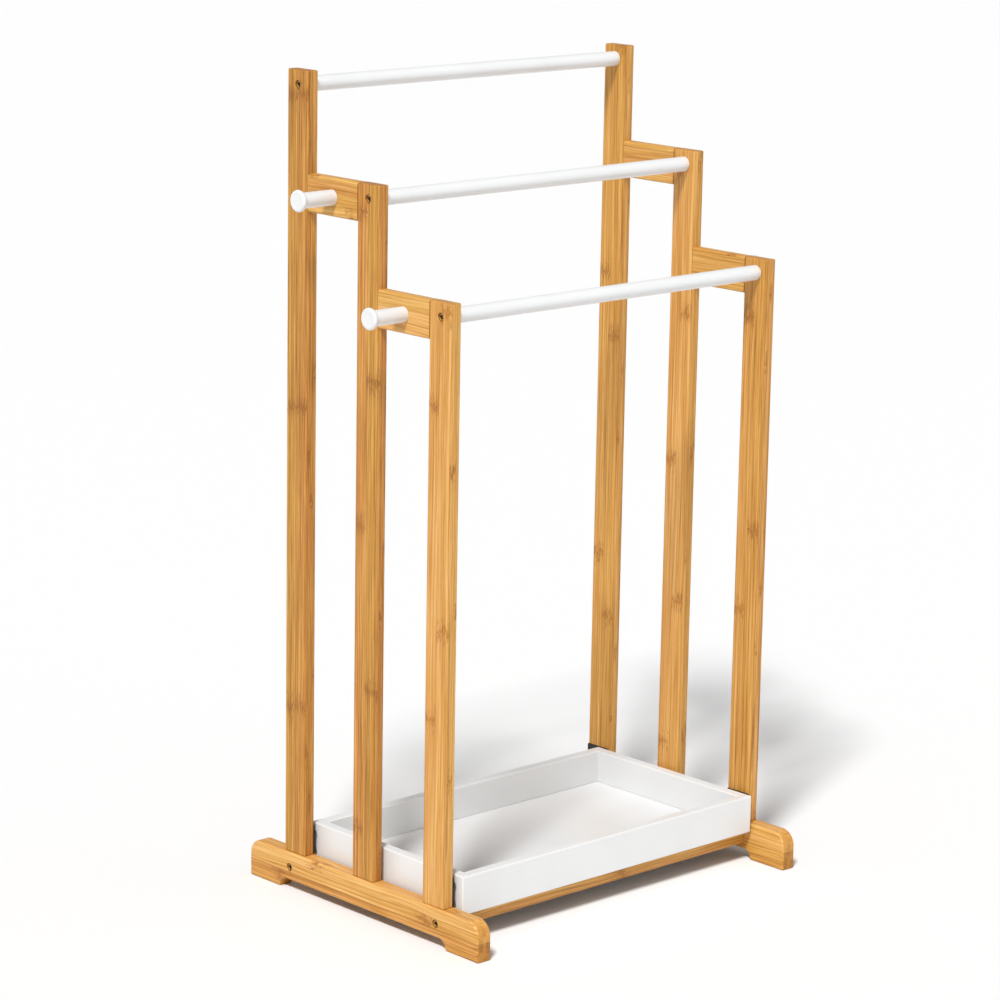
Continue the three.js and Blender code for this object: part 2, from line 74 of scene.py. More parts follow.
THREAD_PITCH = 1 * MM
THREAD_DEPTH = 0.55 * MM
INSERT_RADIUS = 5 * MM
INSERT_LENGTH = 16 * MM
BAR_BOLT_REACH = 20 * MM
RAIL_BOLT_REACH = 28 * MM
BAR_SOFTENING = 0.5 * MM
PEG_SHAFT_RADIUS = 7.8 * MM
PEG_HEAD_THICKNESS = 5 * MM
PEG_FLARE = 4 * MM
PEG_CROWN = 0.35 * MM
PEG_TENON_RADIUS = 5 * MM
PEG_FOOT_EASE = 0.3 * MM
PEG_CURVE_STEPS = 12
BRACKET_THICKNESS = 0.8 * MM
BRACKET_CORNER = 2 * MM
BRACKET_EASE = 0.2 * MM
LIP_SETBACK = 7 * MM  # behind the plate's front edge
LIP_DEPTH = 3 * MM
LIP_HEIGHT = 8 * MM
LIP_CORNER = 0.6 * MM
LIP_EASE = 0.4 * MM
PAN_SHANK = 1.5 * MM
PAN_HEAD_HEIGHT = 3.2 * MM
PAN_RIM = 1.2 * MM
PAN_EASE = 0.25 * MM
PAN_POINT = 1.6 * MM  # left plain at each end of the thread
PAN_THREAD_PITCH = 1.2 * MM
PAN_THREAD_DEPTH = 0.5 * MM
PAN_DOME_STEPS = 9
CROSS_SPAN = 4 * MM
CROSS_WIDTH = 1.1 * MM
CROSS_DEPTH = 1.2 * MM
TRAY_EDGE = 1.4 * MM
TRAY_FLOOR_EASE = 0.4 * MM

ROUND_STEPS = 6  # round a quarter turn of a board's edge
ARC_STEPS = 14  # round a quarter turn of a beam's outline
SIDES = 64  # round bars and pegs
BOLT_SIDES = 48
HOLE_SIDES = 32
PAN_HOLE_SIDES = 24

SIDE_OUT = {"left": -1, "right": 1}
ROWS = ("rear", "middle", "front")
OUTER_ROWS = ("rear", "front")
RAILS = {"upper": ("rear", "middle"), "lower": ("middle", "front")}  # rail: (post behind, post ahead)


# ---------------------------------------------------------------- materials


class Shader:
    """Short calls that build one material round its Principled BSDF."""

    def __init__(self, name):
        self.material = bpy.data.materials.new(name)
        self.material.use_nodes = True
        self.tree = self.material.node_tree
        self.surface = self.tree.nodes["Principled BSDF"]

    def feed(self, socket, value):
        if isinstance(value, bpy.types.NodeSocket):
            self.tree.links.new(value, socket)
        else:
            socket.default_value = value

    def node(self, kind, inputs=None, **settings):
        made = self.tree.nodes.new("ShaderNode" + kind)
        for key, value in settings.items():
            setattr(made, key, value)
        for key, value in (inputs or {}).items():
            self.feed(made.inputs[key], value)
        return made

    def math(self, operation, *values):
        return self.node("Math", dict(enumerate(values)), operation=operation).outputs[0]

    def scaled(self, vector, factors):
        return self.node("VectorMath", {0: vector, 1: factors}, operation="MULTIPLY").outputs[0]

    def vector(self, x, y, z):
        return self.node("CombineXYZ", {0: x, 1: y, 2: z}).outputs[0]

    def noise(self, vector, detail=2.0, roughness=0.5):
        inputs = {"Vector": vector, "Scale": 1.0, "Detail": detail, "Roughness": roughness}
        return self.node("TexNoise", inputs).outputs[0]

    def rise(self, value, low, high, start=0.0, end=1.0):
        inputs = {"Value": value, "From Min": low, "From Max": high, "To Min": start, "To Max": end}
        return self.node("MapRange", inputs, interpolation_type="SMOOTHSTEP").outputs[0]

    def mix(self, share, first, second, blend="MIX"):
        made = self.node("Mix", {0: share, 6: first, 7: second}, data_type="RGBA", blend_type=blend)
        return made.outputs[2]

    def ramp(self, share, stops):
        made = self.node("ValToRGB", {0: share})
        band = made.color_ramp
        while len(band.elements) < len(stops):
            band.elements.new(0.5)
        for element, (position, colour) in zip(band.elements, stops):
            element.position = position
            element.color = (*colour, 1)
        return made.outputs[0]

    def own(self, name):
        """A number that the piece itself holds, as a custom property."""
        return self.node("Attribute", attribute_type="OBJECT", attribute_name=name).outputs["Fac"]

    def bump(self, height, strength, distance):
        inputs = {"Height": height, "Strength": strength, "Distance": distance}
        self.feed(self.surface.inputs["Normal"], self.node("Bump", inputs).outputs[0])

    def uniform(self, **numbers):
        for key, value in numbers.items():
            self.surface.inputs[key.replace("_", " ")].default_value = value


BAMBOO_STOPS = (
    (0.0, (0.22, 0.072, 0.006)),
    (0.25, (0.41, 0.168, 0.021)),
    (0.5, (0.565, 0.265, 0.049)),
    (0.75, (0.68, 0.365, 0.095)),
    (1.0, (0.79, 0.480, 0.170)),
)
NODE_PITCH = 0.31  # between the nodes of one bamboo strip
LAYER_DEPTH = 4.4 * MM  # a board is glued from layers this thick
GLUE_LINE = 0.16 * MM
LAYER_OFFSET = 0.37  # strips of one layer start this share of a strip past those of the next
DRIFT_SCALE = 22  # wander of the fibres, per metre across a board
DRIFT_ALONG = 7
COARSE_FIBRES = 560  # per metre across a board
COARSE_ALONG = 7
FINE_FIBRES = 1900
FINE_ALONG = 24
PORES = 3300
PORES_ALONG = 85
STRIP_OFFSET = 40  # in noise units, how far along one strip's fibres may start past another's
NODE_SCALLOP = 0.010  # how far a node's band wanders along the strip
NODE_REACH = 0.0065  # from the band's middle to where it has mostly faded
NODE_FALL = 0.12  # how fast the specks thin out past the band
NODE_TWIST = 0.006  # how far the fibres bend round a knot
FINE_SHARE = 0.8
STRIP_TINT = 0.2
NODE_SHADE = 0.16
PORE_SHADE = 0.16
END_SHADE = 0.16
LOWER_BOARD_SHADE = 0.24
LINE_SHARE = 0.5
SPECK_SHARE = 0.7
MARK_COLOUR = (0.30, 0.105, 0.02, 1)
GLUE_COLOUR = (0.2, 0.085, 0.025, 1)
# Painted shade: this colour and share darken a board's narrow faces and rounded edges.
EDGE_SHADE_COLOUR = (0.95, 0.92, 0.9, 1)
EDGE_SHADE_SHARE = 0.8


def bamboo(name, strip_width, wave, lamination=None):
    """Pressed bamboo with fibres along the piece's own Z, and strips side by side along Y in layers along X.

    wave is how far the fibres wander sideways.
    lamination is the local Y of a glue line with a darker board below it.
    """
    s = Shader(name)
    place = s.node("TexCoord").outputs["Object"]
    split = s.node("SeparateXYZ", {0: place})
    x, y, z = split.outputs
    seed = s.own("grain_seed")

    # Fibres that wander, and the strip that each point is in.
    drift_x = s.math("MULTIPLY", x, DRIFT_SCALE)
    drift_y = s.math("MULTIPLY", y, DRIFT_SCALE)
    drift = s.noise(s.vector(drift_x, drift_y, s.math("MULTIPLY_ADD", z, DRIFT_ALONG, seed)))
    y1 = s.math("MULTIPLY_ADD", s.math("SUBTRACT", drift, 0.5), wave, y)
    layer = s.math("FLOOR", s.math("MULTIPLY_ADD", x, 1 / LAYER_DEPTH, 0.5))
    shift = s.math("MULTIPLY_ADD", layer, LAYER_OFFSET, seed)
    across = s.math("MULTIPLY_ADD", y1, 1 / strip_width, shift)
    strip = s.math("FLOOR", across)
    random = s.node("TexWhiteNoise", {"Vector": s.vector(strip, layer, seed)}, noise_dimensions="3D")
    parts = s.node("SeparateColor", {0: random.outputs["Color"]})
    lot, tint, fall = parts.outputs

    # Sawn ends, where the fibres are cut across.
    normal = s.node("SeparateXYZ", {0: s.node("TexCoord").outputs["Normal"]}).outputs
    end = s.rise(s.math("ABSOLUTE", normal[2]), 0.6, 0.9)

    # The node of the strip: a scalloped band across it, where the fibres are disturbed.
    along = s.math("FRACT", s.math("MULTIPLY_ADD", z, 1 / NODE_PITCH, s.math("MULTIPLY", fall, 5)))
    away = s.math("MULTIPLY", s.math("SUBTRACT", along, 0.5), NODE_PITCH)
    scallop = s.noise(s.scaled(place, (420, 420, 70)), detail=2)
    away = s.math("MULTIPLY_ADD", s.math("SUBTRACT", scallop, 0.5), NODE_SCALLOP, away)
    reach = s.math("DIVIDE", away, NODE_REACH)
    spread = s.math("MULTIPLY", reach, reach)
    near = s.math("EXPONENT", s.math("MULTIPLY", spread, -1))
    wide = s.math("EXPONENT", s.math("MULTIPLY", spread, -NODE_FALL))
    knot = s.math("SUBTRACT", s.noise(s.scaled(place, (160, 160, 240)), detail=1), 0.5)
    y2 = s.math("ADD", y1, s.math("MULTIPLY", s.math("MULTIPLY", knot, near), NODE_TWIST))

    # Fibres at three scales.
    def fibres(scale, start, detail, roughness):
        place_x = s.math("MULTIPLY", x, scale)
        place_y = s.math("MULTIPLY", y2, scale)
        return s.noise(s.vector(place_x, place_y, start), detail, roughness)

    coarse_start = s.math("MULTIPLY_ADD", lot, STRIP_OFFSET, s.math("MULTIPLY", z, COARSE_ALONG))
    coarse = fibres(COARSE_FIBRES, coarse_start, 3, 0.6)
    fine_start = s.math("MULTIPLY_ADD", lot, STRIP_OFFSET, s.math("MULTIPLY", z, FINE_ALONG))
    fine = fibres(FINE_FIBRES, fine_start, 2, 0.6)
    pores = fibres(PORES, s.math("MULTIPLY", z, PORES_ALONG), 1, 0.5)

    coarse_share = s.rise(end, 0, 1, 1.5, 0.4)
    tone = s.math("MULTIPLY_ADD", s.math("SUBTRACT", coarse, 0.5), coarse_share, s.own("tone"))
    tone = s.math("MULTIPLY_ADD", s.math("SUBTRACT", fine, 0.5), FINE_SHARE, tone)
    tone = s.math("MULTIPLY_ADD", s.math("SUBTRACT", tint, 0.5), STRIP_TINT, tone)
    tone = s.math("SUBTRACT", tone, s.math("MULTIPLY", near, NODE_SHADE))
    tone = s.math("SUBTRACT", tone, s.rise(pores, 0.64, 0.76, 0.0, PORE_SHADE))
    if lamination is not None:
        height = s.math("ADD", y, s.math("MULTIPLY", s.math("SUBTRACT", drift, 0.5), 0.0012))
        below = s.math("LESS_THAN", height, lamination)
        tone = s.math("SUBTRACT", tone, s.math("MULTIPLY", below, LOWER_BOARD_SHADE))
    tone = s.math("SUBTRACT", tone, s.math("MULTIPLY", end, END_SHADE))
    colour = s.ramp(tone, BAMBOO_STOPS)

    # Each strip leans a little to red or to yellow.
    lean = s.node("HueSaturation", {"Hue": s.rise(lot, 0, 1, 0.496, 0.505), "Color": colour}).outputs[0]

    # Dark marks of a node, and the specks round it.
    patch = s.noise(s.scaled(place, (300, 300, 150)), detail=2)
    line = s.math("MULTIPLY", s.rise(s.math("ABSOLUTE", away), 0.0021, 0.0006), s.rise(patch, 0.42, 0.56))
    speck = s.noise(s.scaled(place, (520, 520, 110)), detail=2)
    specks = s.math("MULTIPLY", s.rise(speck, 0.52, 0.64), s.rise(wide, 0.3, 0.95))
    lines = s.math("MULTIPLY", line, LINE_SHARE)
    marks = s.math("MAXIMUM", lines, s.math("MULTIPLY", specks, SPECK_SHARE))
    marks = s.math("MULTIPLY", marks, s.math("SUBTRACT", 1, end))
    marked = s.mix(marks, lean, MARK_COLOUR)

    # Glue lines between strips, and painted shade that darkens the narrow faces and their rounded edges.
    side = s.math("FRACT", across)
    seam = s.math("MINIMUM", side, s.math("SUBTRACT", 1, side))
    glue = s.rise(seam, 2.5 * GLUE_LINE / strip_width, GLUE_LINE / strip_width, 0.0, 0.3)
    if lamination is not None:
        gap = s.math("ABSOLUTE", s.math("SUBTRACT", height, lamination))
        glue = s.math("MAXIMUM", glue, s.rise(gap, 3 * GLUE_LINE, GLUE_LINE, 0.0, 0.4))
    glued = s.mix(glue, marked, GLUE_COLOUR)
    # Painted shade: darker towards the narrow faces, over the last 1.6 mm.
    inside = s.math("SUBTRACT", s.own("half_width"), s.math("ABSOLUTE", y))
    edge = s.rise(inside, 1.6 * MM, 0.2 * MM)
    final = s.mix(s.math("MULTIPLY", edge, EDGE_SHADE_SHARE), glued, EDGE_SHADE_COLOUR, "MULTIPLY")

    s.feed(s.surface.inputs["Base Color"], final)
    s.feed(s.surface.inputs["Roughness"], s.rise(fine, 0.2, 0.8, 0.52, 0.38))
    relief = s.math("ADD", s.math("MULTIPLY", coarse, 0.5), s.math("MULTIPLY", fine, 0.5))
    relief = s.math("SUBTRACT", relief, s.math("MULTIPLY", marks, 0.3))
    s.bump(relief, 0.35, 0.15 * MM)
    s.uniform(Coat_Weight=0.08, Coat_Roughness=0.3, Specular_IOR_Level=0.3)
    return s.material


def white_lacquer(name):
    """Sprayed satin lacquer on wood: a fine orange peel, faint brush of grain and slight unevenness."""
    s = Shader(name)
    place = s.node("TexCoord").outputs["Object"]
    cloud = s.noise(s.scaled(place, (14, 14, 14)), detail=3)
    peel = s.noise(s.scaled(place, (950, 950, 950)), detail=1)
    grain = s.noise(s.scaled(place, (700, 700, 18)), detail=2)
    tone = s.math("ADD", s.math("MULTIPLY", cloud, 0.7), s.math("MULTIPLY", grain, 0.3))
    stops = ((0.25, (0.72, 0.725, 0.725)), (0.75, (0.77, 0.775, 0.775)))
    s.feed(s.surface.inputs["Base Color"], s.ramp(tone, stops))
    s.feed(s.surface.inputs["Roughness"], s.rise(cloud, 0.3, 0.7, 0.33, 0.44))
    s.bump(s.math("ADD", s.math("MULTIPLY", peel, 0.6), s.math("MULTIPLY", grain, 0.4)), 0.12, 0.1 * MM)
    s.uniform(Coat_Weight=0.25, Coat_Roughness=0.2)
    return s.material


def metal(name, bright, dull, metallic, roughness):
    """Plated or coated steel: tarnish in patches and fine turning marks."""
    s = Shader(name)
    place = s.node("TexCoord").outputs["Object"]
    patch = s.noise(s.scaled(place, (520, 520, 520)), detail=3, roughness=0.6)
    turning = s.noise(s.scaled(place, (260, 260, 5200)), detail=1)
    s.feed(s.surface.inputs["Base Color"], s.mix(s.rise(patch, 0.38, 0.66), (*bright, 1), (*dull, 1)))
    s.feed(s.surface.inputs["Roughness"], s.rise(patch, 0.3, 0.7, roughness, roughness + 0.16))
    s.bump(s.math("ADD", s.math("MULTIPLY", patch, 0.4), s.math("MULTIPLY", turning, 0.6)), 0.25, 0.05 * MM)
    s.uniform(Metallic=metallic)
    return s.material


# ---------------------------------------------------------------- solids


def solid(name, points, faces):
    mesh = bpy.data.meshes.new(name)
    mesh.from_pydata(points, [], faces)
    made = bpy.data.objects.new(name, mesh)
    bpy.context.scene.collection.objects.link(made)
    return made


def loft(name, rings):
    """A closed solid through rings that run anticlockwise about Z. A ring of one point closes an end."""
    points = [point for ring in rings for point in ring]
    starts = [sum(len(ring) for ring in rings[:i]) for i in range(len(rings))]
    faces = []
    for lower, upper, a, b in zip(rings, rings[1:], starts, starts[1:]):
        count = max(len(lower), len(upper))
        for i in range(count):
            j = (i + 1) % count
            if len(lower) == 1:
                faces.append((a, b + j, b + i))
            elif len(upper) == 1:
                faces.append((a + i, a + j, b))
            else:
                faces.append((a + i, a + j, b + j, b + i))
    if len(rings[0]) > 1:
        faces.append(tuple(reversed(range(len(rings[0])))))
    if len(rings[-1]) > 1:
        faces.append(tuple(range(starts[-1], starts[-1] + len(rings[-1]))))
    return solid(name, points, faces)


def circle(radius, z, sides, flats=0):
    """A ring about Z. With flats, a polygon of that many sides, and radius is from its middle to a flat."""
    if radius <= 0:
        return [(0, 0, z)]
    ring = []
    for i in range(sides):
        turn = 2 * math.pi * i / sides
        reach = radius
        if flats:
            wedge = 2 * math.pi / flats
            reach = radius / math.cos((turn % wedge) - wedge / 2)
        ring.append((reach * math.cos(turn), reach * math.sin(turn), z))
    return ring


def turned(name, profile, sides):
    """A solid of revolution about Z.

    Each entry is (radius, z), or (middle to flat, z, flats) for a polygon.
    """
    return loft(name, [circle(entry[0], entry[1], sides, *entry[2:]) for entry in profile])


def rounded_ring(width, height, radius, z):
    ring = []
    for corner in range(4):
        middle_x = (width / 2 - radius) * (1 if corner in (0, 3) else -1)
        middle_y = (height / 2 - radius) * (1 if corner in (0, 1) else -1)
        for step in range(ROUND_STEPS + 1):
            turn = (corner + step / ROUND_STEPS) * math.pi / 2
            ring.append((middle_x + radius * math.cos(turn), middle_y + radius * math.sin(turn), z))
    return ring


def ease_rings(length, ease, make_ring, steps=4):
    """Rings from end to end along Z, with both ends rounded over: make_ring(inset, z) gives one ring."""
    rings = []
    for step in range(steps + 1):
        turn = step / steps * math.pi / 2
        rings.append(make_ring(ease * (1 - math.sin(turn)), ease * (1 - math.cos(turn)) - length / 2))
    return rings + [make_ring(ease * (1 - math.sin(turn)), length / 2 - ease * (1 - math.cos(turn)))
                    for turn in (step / steps * math.pi / 2 for step in reversed(range(steps + 1)))]


def board(name, thickness, width, length, radius, ease):
    """A board about the origin: thickness along X, width along Y, fibres along Z."""
    def ring(inset, z):
        corner = max(radius - inset, 0.2 * MM)
        return rounded_ring(thickness - 2 * inset, width - 2 * inset, corner, z)
    return loft(name, ease_rings(length, ease, ring))


def arc(x, y, radius, start, end, steps=ARC_STEPS):
    """Points round a centre, from start to end in quarter turns."""
    turns = [(start + (end - start) * step / steps) * math.pi / 2 for step in range(steps + 1)]
    return [(x + radius * math.cos(turn), y + radius * math.sin(turn)) for turn in turns]


def soft_box(name, low, high, radius, keep=lambda middle: False):
    """A box between two corners, with each edge rounded unless keep(the edge's middle) is true."""
    points = [(x, y, z) for x in (low[0], high[0]) for y in (low[1], high[1]) for z in (low[2], high[2])]
    faces = [(0, 1, 3, 2), (4, 6, 7, 5), (0, 4, 5, 1), (2, 3, 7, 6), (0, 2, 6, 4), (1, 5, 7, 3)]
    made = solid(name, points, faces)
    if radius > 0:
        shape = bmesh.new()
        shape.from_mesh(made.data)
        edges = [e for e in shape.edges if not keep((e.verts[0].co + e.verts[1].co) / 2)]
        bmesh.ops.bevel(shape, geom=edges, offset=radius, segments=5, profile=0.5, affect="EDGES")
        shape.to_mesh(made.data)
        shape.free()
    return made


AXES = {
    "X": Matrix(((0, 0, 1), (1, 0, 0), (0, 1, 0))),
    "-X": Matrix(((0, 0, -1), (1, 0, 0), (0, -1, 0))),
    "Y": Matrix(((-1, 0, 0), (0, 0, 1), (0, 1, 0))),
    "Z": Matrix.Identity(3),
}


def lay(piece, centre, axis="Z"):
    """Turns the piece so that its own Z runs along the axis, and puts its origin at centre."""
    piece.matrix_world = Matrix.Translation(centre) @ AXES[axis].to_4x4()
    return piece


def combine(piece, adds=(), cuts=()):
    """Joins and cuts solids that stand in the row frame, and removes the tools."""
    bpy.context.view_layer.update()
    for tools, operation in ((adds, "UNION"), (cuts, "DIFFERENCE")):
        for tool in tools:
            change = piece.modifiers.new(operation, "BOOLEAN")
            change.object = tool
            change.operation = operation
            change.solver = "EXACT"
    graph = bpy.context.evaluated_depsgraph_get()
    shaped = bpy.data.meshes.new_from_object(piece.evaluated_get(graph))
    piece.modifiers.clear()
    piece.data = shaped
    for tool in (*adds, *cuts):
        bpy.data.objects.remove(tool)
    return piece


# ---------------------------------------------------------------- pieces


def grain_seed(node):
    """A fixed number for each node's name, so that every board is cut from different bamboo."""
    return sum((i + 3) * ord(letter) for i, letter in enumerate(node)) % 97 + 0.37


BOARD_TONES = {
    "left_rear_post": 0.44,
    "left_middle_post": 0.46,
    "left_front_post": 0.62,
    "left_foot_beam": 0.66,
    "right_foot_beam": 0.66,
    "left_upper_side_rail": 0.6,
    "left_lower_side_rail": 0.64,
}
PLAIN_TONE = 0.54


def show(piece, node, material, width=0.0, crease=33):
    """Finishes a piece: smooth where it is round, sharp where it isn't, and standing for its CAD node."""
    mesh = piece.data
    mesh.materials.clear()
    mesh.materials.append(material)
    mesh.polygons.foreach_set("use_smooth", [True] * len(mesh.polygons))
    mesh.set_sharp_from_angle(angle=math.radians(crease))
    normals = piece.modifiers.new("normals", "WEIGHTED_NORMAL")
    normals.keep_sharp = True
    piece["grain_seed"] = grain_seed(node)
    piece["half_width"] = width / 2
    piece["tone"] = BOARD_TONES.get(node, PLAIN_TONE)
    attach(piece, "root")
    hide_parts(node)
    return piece


def middle_of(node):
    low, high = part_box(node)
    return (low + high) / 2


def through_bore(out, face, seat_depth, thickness, y, z):
    """The tool for a bolt's hole: a counterbore with a soft mouth, then the shank's hole."""
    head = BOLT_HEAD_RADIUS + FIT_GAP
    shank = BOLT_RADIUS + FIT_GAP
    tool = turned("bore", [
        (0, -thickness - OVERRUN),
        (shank, -thickness - OVERRUN),
        (shank, -seat_depth),
        (head, -seat_depth),
        (head, -BORE_MOUTH),
        (head + BORE_MOUTH + OVERRUN, OVERRUN),
        (0, OVERRUN),
    ], BOLT_SIDES)
    return lay(tool, (face, y, z), "X" if out > 0 else "-X")


def plain_bore(radius, x0, x1, y, z, sides=BOLT_SIDES):
    half = abs(x1 - x0) / 2
    tool = turned("bore", [(0, -half), (radius, -half), (radius, half), (0, half)], sides)
    return lay(tool, ((x0 + x1) / 2, y, z), "X")


def block(low, high, grow=0.0):
    spread = Vector((grow,) * 3)
    return soft_box("block", Vector(low) - spread, Vector(high) + spread, 0)


def outer_face(side, node):
    low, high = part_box(node)
    return high.x if SIDE_OUT[side] > 0 else low.x


def inner_face(side, node):
    low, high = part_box(node)
    return low.x if SIDE_OUT[side] > 0 else high.x


def rail_tenon(side, rail, towards, grow=0.0):
    """The block of a side rail's tenon at one end. towards is 1 for the rear end."""
    behind, ahead = RAILS[rail]
    low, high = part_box(f"{side}_{rail}_side_rail")
    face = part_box(f"{side}_{behind}_post")[0].y if towards > 0 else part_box(f"{side}_{ahead}_post")[1].y
    tip = high.y if towards > 0 else low.y
    x = (low.x + high.x) / 2
    ys = sorted((face - towards * OVERRUN, tip))
    return block((x - TENON_THICKNESS / 2, ys[0], low.z + TENON_MARGIN),
                 (x + TENON_THICKNESS / 2, ys[1], high.z - TENON_MARGIN), grow)


def post_tenon(side, row, grow=0.0):
    low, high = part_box(f"{side}_{row}_post")
    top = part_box(f"{side}_foot_beam")[1].z
    x = (low.x + high.x) / 2
    return block((x - TENON_THICKNESS / 2, low.y + TENON_MARGIN, low.z),
                 (x + TENON_THICKNESS / 2, high.y - TENON_MARGIN, top + OVERRUN), grow)


def build_post(side, row, wood):
    node = f"{side}_{row}_post"
    low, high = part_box(node)
    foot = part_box(f"{side}_foot_beam")[1].z
    size = high - low
    length = high.z - foot
    piece = board(f"{node}_detail", size.x, size.y, length, WOOD_EDGE, WOOD_END)
    lay(piece, ((low.x + high.x) / 2, (low.y + high.y) / 2, foot + length / 2))
    out = SIDE_OUT[side]
    bolt = middle_of(f"{row}_bar")
    face = outer_face(side, node)
    seat = abs(face - outer_face(side, f"{side}_{row}_bar_bolt")) + BOLT_HEAD_HEIGHT
    cuts = [through_bore(out, face, seat, size.x, bolt.y, bolt.z)]
    for rail, (behind, ahead) in RAILS.items():
        if row == behind:
            cuts.append(rail_tenon(side, rail, 1, FIT_GAP))
        if row == ahead:
            cuts.append(rail_tenon(side, rail, -1, FIT_GAP))
    if row in OUTER_ROWS:
        for level in ("upper", "lower"):
            screw = f"{side}_{row}_tray_bracket_{level}_screw"
            place = middle_of(screw)
            tip = outer_face(side, screw)
            inner = inner_face(side, node)
            cuts.append(plain_bore(PAN_SHANK + FIT_GAP, inner - out * OVERRUN, tip + out * FIT_GAP,
                                   place.y, place.z, PAN_HOLE_SIDES))
    combine(piece, [post_tenon(side, row)], cuts)
    show(piece, node, wood, size.y)


def build_side_rail(side, rail, wood):
    node = f"{side}_{rail}_side_rail"
    behind, ahead = RAILS[rail]
    low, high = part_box(node)
    size = high - low
    y0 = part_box(f"{side}_{ahead}_post")[1].y
    y1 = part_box(f"{side}_{behind}_post")[0].y
    centre = ((low.x + high.x) / 2, (y0 + y1) / 2, (low.z + high.z) / 2)
    piece = lay(board(f"{node}_detail", size.x, size.z, y1 - y0, WOOD_EDGE, 0), centre, "Y")
    out = SIDE_OUT[side]
    peg = f"{side}_{rail}_peg"
    place = middle_of(peg)
    hole = plain_bore(PEG_TENON_RADIUS + FIT_GAP, inner_face(side, peg) - out * FIT_GAP,
                      outer_face(side, node) + out * OVERRUN, place.y, place.z)
    combine(piece, [rail_tenon(side, rail, 1), rail_tenon(side, rail, -1)], [hole])
    show(piece, node, wood, size.z)


def beam_outline(length, height, inset):
    """The side of a foot beam about its own middle, along and up, moved in all round by inset."""
    half, tall = length / 2 - inset, height / 2 - inset
    foot = length / 2 - BEAM_FOOT
    corner = max(BEAM_CORNER - inset, 0.1 * MM)
    top = BEAM_END_RADIUS - inset
    rise = BEAM_RISE + inset
    outline = arc(corner - half, corner - tall, corner, 2, 3, 4)
    outline += arc(-foot - inset - corner, corner - tall, corner, 3, 4, 4)
    outline += arc(BEAM_RISE - foot, -height / 2, rise, 1.85, 1)
    outline += arc(foot - BEAM_RISE, -height / 2, rise, 1, 0.15)
    outline += arc(foot + inset + corner, corner - tall, corner, 2, 3, 4)
    outline += arc(half - corner, corner - tall, corner, 3, 4, 4)
    outline += arc(half - top, tall - top, top, 0, 1)
    outline += arc(top - half, tall - top, top, 1, 2)
    return outline


def build_foot_beam(side, wood):
    node = f"{side}_foot_beam"
    low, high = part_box(node)
    size = high - low

    # The rings are stacked across the beam, and its length lies along Z with the fibres.
    def ring(inset, across):
        return [(across, up, along) for along, up in beam_outline(size.y, size.z, inset)]

    piece = loft(f"{node}_detail", ease_rings(size.x, BEAM_EDGE, ring, 6))
    piece.data.flip_normals()
    lay(piece, (low + high) / 2, "Y")
    out = SIDE_OUT[side]
    face = outer_face(side, node)
    cuts = [post_tenon(side, row, FIT_GAP) for row in ROWS]
    for row in OUTER_ROWS:
        bolt = f"{side}_{row}_rail_bolt"
        place = middle_of(bolt)
        seat = abs(face - outer_face(side, bolt)) + BOLT_HEAD_HEIGHT
        cuts.append(through_bore(out, face, seat, size.x, place.y, place.z))
    combine(piece, (), cuts)
    show(piece, node, wood, size.z)


def build_cross_rail(row, wood):
    node = f"{row}_cross_rail"
    low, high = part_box(node)
    size = high - low
    centre = (low + high) / 2
    piece = lay(board(f"{node}_detail", size.y, size.z, size.x, WOOD_EDGE, 0), centre, "X")
    holes = []
    for side, out in SIDE_OUT.items():
        tip = inner_face(side, f"{side}_{row}_rail_bolt")
        face = out * size.x / 2
        holes.append(plain_bore(BOLT_RADIUS + FIT_GAP, face + out * OVERRUN, tip - out * FIT_GAP,
                                centre.y, centre.z, HOLE_SIDES))
    combine(piece, (), holes)
    show(piece, node, wood, size.z)


def build_bar(row, lacquer):
    """A round bar with a bore in each end for its insert and bolt."""
    node = f"{row}_bar"
    low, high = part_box(node)
    half = (high.x - low.x) / 2
    radius = (high.z - low.z) / 2
    seat, hole = INSERT_RADIUS + FIT_GAP, BOLT_RADIUS + FIT_GAP
    soft = BAR_SOFTENING
    end = [
        (0, half - BAR_BOLT_REACH - FIT_GAP),
        (hole, half - BAR_BOLT_REACH - FIT_GAP),
        (hole, half - INSERT_LENGTH - FIT_GAP),
        (seat, half - INSERT_LENGTH - FIT_GAP),
        (seat, half),
        (radius - soft, half),
        (radius - soft * 0.3, half - soft * 0.3),
        (radius, half - soft),
    ]
    profile = [(r, -z) for r, z in end] + end[::-1]
    piece = turned(f"{node}_detail", profile, SIDES)
    lay(piece, (low + high) / 2, "X")
    show(piece, node, lacquer)


def build_peg(side, rail, lacquer):
    """A turned peg: tenon, straight shaft, a hollow flare and a disc head with a round rim."""
    node = f"{side}_{rail}_peg"
    low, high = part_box(node)
    out = SIDE_OUT[side]
    face = outer_face(side, f"{side}_{rail}_side_rail")
    length = abs(outer_face(side, node) - face)
    tenon = abs(inner_face(side, node) - face)
    head = (high.z - low.z) / 2
    shaft = PEG_SHAFT_RADIUS
    rim = PEG_HEAD_THICKNESS / 2
    start = length - PEG_HEAD_THICKNESS
    foot = PEG_FOOT_EASE
    profile = [(0, -tenon), (PEG_TENON_RADIUS - foot, -tenon), (PEG_TENON_RADIUS, foot - tenon),
               (PEG_TENON_RADIUS, 0), (shaft - foot, 0), (shaft, foot)]
    steps = PEG_CURVE_STEPS
    for step in range(steps + 1):
        turn = step / steps * math.pi / 2
        widen = (head - rim - shaft) * (1 - math.cos(turn))
        profile.append((shaft + widen, start - PEG_FLARE * (1 - math.sin(turn))))
    for step in range(1, steps + 1):
        turn = step / steps * math.pi
        z = start + rim - rim * math.cos(turn)
        profile.append((head - rim + rim * math.sin(turn), min(z, length)))
    for share in (0.85, 0.6, 0.3):
        profile.append(((head - rim) * share, length - PEG_CROWN * math.sin(share * math.pi)))
    profile.append((0, length))
    piece = turned(f"{node}_detail", profile, SIDES)
    centre = (low + high) / 2
    lay(piece, (face, centre.y, centre.z), "X" if out > 0 else "-X")
    show(piece, node, lacquer)


